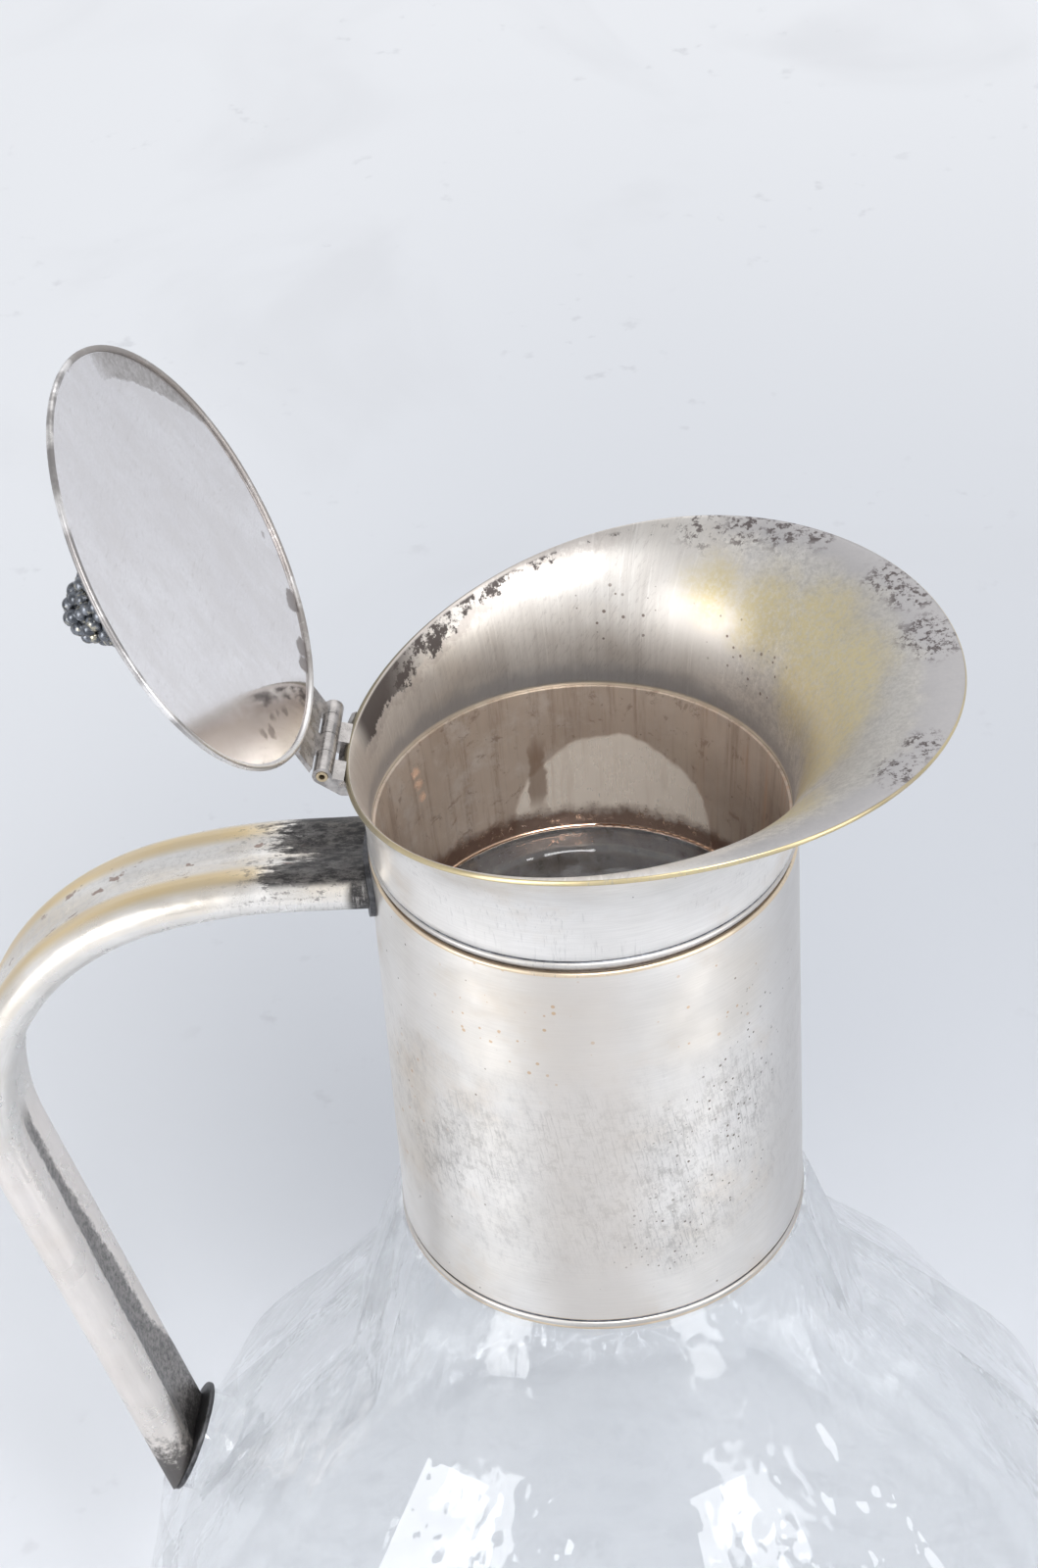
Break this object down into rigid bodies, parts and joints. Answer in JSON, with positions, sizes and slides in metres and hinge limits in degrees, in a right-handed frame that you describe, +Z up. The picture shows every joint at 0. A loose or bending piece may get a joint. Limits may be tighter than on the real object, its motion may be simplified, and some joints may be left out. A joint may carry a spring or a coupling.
{
  "type": "claret jug",
  "caption": "Fluted clear glass claret jug with a tall metal collar, flared pouring spout, hollow bent handle and a domed lid on a knuckle hinge.",
  "frame": {"origin": "centre of the flat base, on the surface that the jug stands on", "axes": "+Z up, +X to the pouring spout, -X to the handle; the lid's hinge axis is parallel to Y"},
  "size_m": [0.2014, 0.1894, 0.2959],
  "materials": {
    "clear_glass": "clear polished cut glass",
    "worn_silver": "worn silver plate, brushed, brass showing at the edges",
    "tarnished_silver": "brown tarnished inner sleeve",
    "oxidised_silver": "dark oxidised casting",
    "pin_brass": "drawn tube, dull",
    "plaster": "set plaster, hidden"
  },
  "bodies": {
    "jug": {"glass_body": "clear_glass", "neck_collar": "worn_silver", "collar_foot_bead": "worn_silver", "joint_band": "worn_silver", "neck_liner": "tarnished_silver", "neck_cement": "plaster", "spout_flare": "worn_silver", "handle_left_half": "worn_silver", "handle_right_half": "worn_silver", "handle_root_plate": "oxidised_silver", "handle_foot_plate": "oxidised_silver", "handle_foot_cement": "plaster", "hinge_collar_leaf": "oxidised_silver", "hinge_pin": "pin_brass"},
    "lid": {"lid_dome": "worn_silver", "lid_edge_wire": "worn_silver", "hinge_lid_leaf": "oxidised_silver", "finial_base": "oxidised_silver", "grape_finial": "oxidised_silver", "finial_rivet": "worn_silver"}
  },
  "joints": [
    {"name": "lid_hinge", "type": "hinge", "parent": "jug", "child": "lid", "pos_m": [-0.0401, 0, 0.2281], "axis": [0, 1, 0], "range_deg": [0, 119]}
  ]
}
